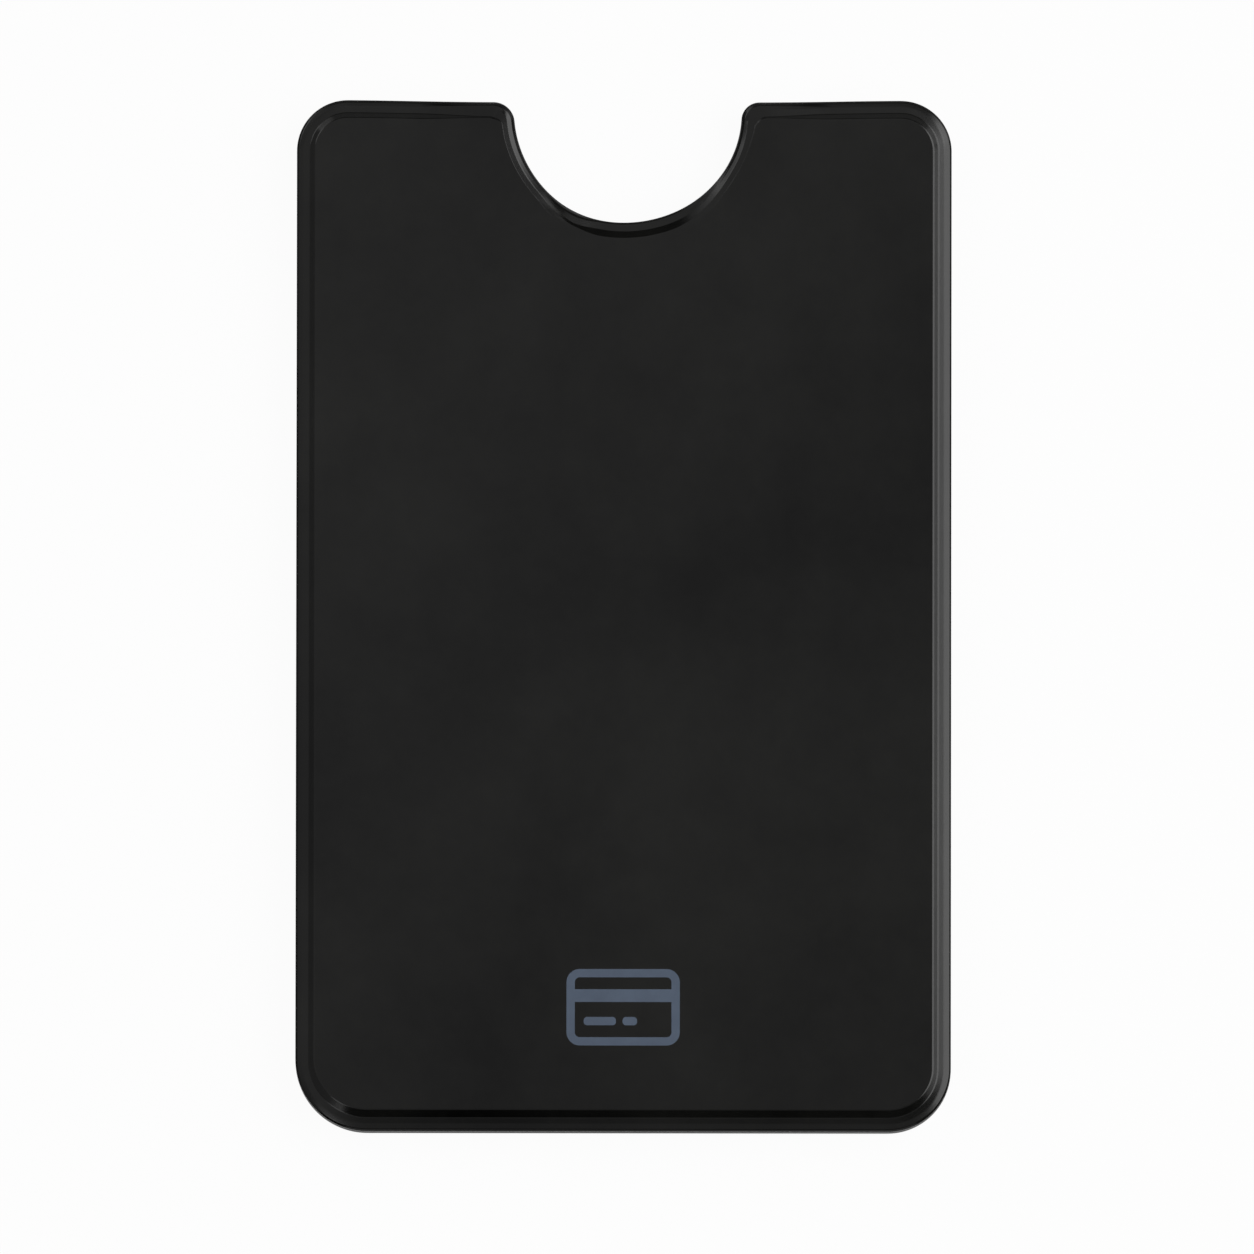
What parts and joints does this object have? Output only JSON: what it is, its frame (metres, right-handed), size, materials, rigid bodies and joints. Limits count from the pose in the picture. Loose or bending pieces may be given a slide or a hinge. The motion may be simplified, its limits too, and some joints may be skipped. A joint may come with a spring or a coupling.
{
  "type": "rfid card sleeve",
  "caption": "Rigid sleeve for a payment card: two welded plastic shells with raised panels, a slot open at one end, a round thumb notch and blocking sheets inside.",
  "frame": {"origin": "under the middle of the sleeve, on the face of the rear raised panel", "axes": "+X across the width, +Y along the length towards the open mouth, +Z out of the front panel"},
  "size_m": [0.059, 0.093, 0.004],
  "materials": {
    "shell_plastic": "satin moulded black",
    "shield_metal": "rolled sheet",
    "shield_adhesive": "clear acrylic film"
  },
  "bodies": {
    "root": {"front_cover": "shell_plastic", "rear_cover": "shell_plastic", "front_shield": "shield_metal", "rear_shield": "shield_metal", "front_shield_film": "shield_adhesive", "rear_shield_film": "shield_adhesive"}
  },
  "joints": []
}
